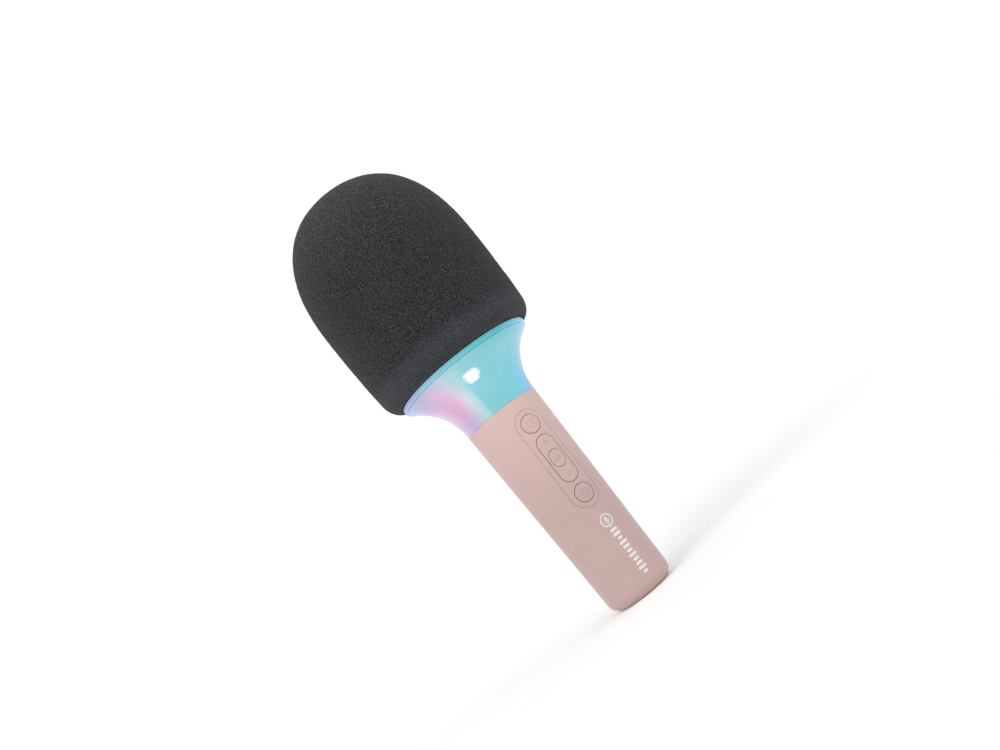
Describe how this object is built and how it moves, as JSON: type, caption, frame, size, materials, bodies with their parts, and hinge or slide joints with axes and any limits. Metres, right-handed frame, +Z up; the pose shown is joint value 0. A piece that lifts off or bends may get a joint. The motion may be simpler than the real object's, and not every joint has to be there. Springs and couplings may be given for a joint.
{
  "type": "toy microphone",
  "caption": "Handheld toy karaoke microphone: foam windscreen, light-up speaker cup, tapered handle with effect, volume, play and power keys.",
  "frame": {"origin": "centre of the flat base of the handle, on the surface it stands on", "axes": "+Z up along the microphone's axis towards the head; the key panel faces -Y; +X to the right when facing the keys"},
  "size_m": [0.087, 0.087, 0.2365],
  "materials": {
    "windscreen_foam": "open-cell foam, matte",
    "light_cup": "milky translucent, glossy, lit from inside",
    "handle_shell": "soft-touch matte",
    "key_plastic": "soft-touch matte",
    "cage_plastic": "moulded",
    "white_plastic": "moulded",
    "black_plastic": "moulded",
    "black_rubber": "matte",
    "screw_steel": "zinc plated",
    "bright_metal": "tinned",
    "speaker_steel": "dark plating",
    "speaker_paper": "pressed paper",
    "spider_cloth": "resin-dipped cloth",
    "copper_wire": "enamelled wire",
    "ferrite": "ground ceramic magnet",
    "green_board": "solder resist",
    "white_board": "white solder resist",
    "led_lens": "clear resin over phosphor",
    "cell_sleeve": "shrink sleeve",
    "red_lead": "satin",
    "black_lead": "satin",
    "white_lead": "satin"
  },
  "bodies": {
    "housing": {"grille_cage": "cage_plastic", "cage_screws": "screw_steel", "capsule_holder": "black_rubber", "mic_capsule": "bright_metal", "rim_ring": "light_cup", "diffuser_cup": "light_cup", "cup_screws": "screw_steel", "led_board": "white_board", "leds": "led_lens", "led_board_screws": "screw_steel", "speaker_gasket": "black_rubber", "speaker_frame": "speaker_steel", "speaker_surround": "black_rubber", "speaker_cone": "speaker_paper", "speaker_dust_cap": "speaker_paper", "speaker_spider": "spider_cloth", "voice_coil": "copper_wire", "speaker_top_plate": "speaker_steel", "speaker_magnet": "ferrite", "speaker_yoke": "speaker_steel", "handle_shell": "handle_shell", "button_panel": "handle_shell", "main_board": "green_board", "tact_switches": "bright_metal", "board_chips": "black_plastic", "bluetooth_module": "bright_metal", "board_capacitors": "bright_metal", "lead_sockets": "white_plastic", "board_screws": "screw_steel", "usb_shell": "bright_metal", "usb_tongue": "black_plastic", "chassis": "white_plastic", "battery_cell": "cell_sleeve", "battery_tabs": "bright_metal", "positive_lead": "red_lead", "negative_lead": "black_lead", "speaker_leads": "red_lead", "mic_lead": "black_lead", "led_lead": "white_lead"},
    "windscreen": {"foam_windscreen": "windscreen_foam"},
    "effect_key": {"effect_button": "key_plastic", "effect_plunger": "black_plastic"},
    "volume_key": {"volume_rocker": "key_plastic", "volume_plungers": "black_plastic"},
    "play_key": {"play_button": "key_plastic", "play_plunger": "black_plastic"},
    "power_key": {"power_button": "key_plastic", "power_plunger": "black_plastic"}
  },
  "joints": [
    {"name": "windscreen_lift", "type": "slide", "parent": "housing", "child": "windscreen", "axis": [0, 0, 1], "range_m": [0, 0.1]},
    {"name": "effect_press", "type": "slide", "parent": "housing", "child": "effect_key", "axis": [0, 1, 0], "range_m": [0, 0.0004], "stiffness_N_per_m": 600},
    {"name": "volume_rock", "type": "hinge", "parent": "housing", "child": "volume_key", "pos_m": [0, -0.0159, 0.071], "axis": [1, 0, 0], "range_deg": [-2.5, 2.5], "stiffness_Nm_per_rad": 0.1},
    {"name": "play_press", "type": "slide", "parent": "housing", "child": "play_key", "axis": [0, 1, 0], "range_m": [0, 0.0004], "stiffness_N_per_m": 600},
    {"name": "power_press", "type": "slide", "parent": "housing", "child": "power_key", "axis": [0, 1, 0], "range_m": [0, 0.0004], "stiffness_N_per_m": 600}
  ]
}
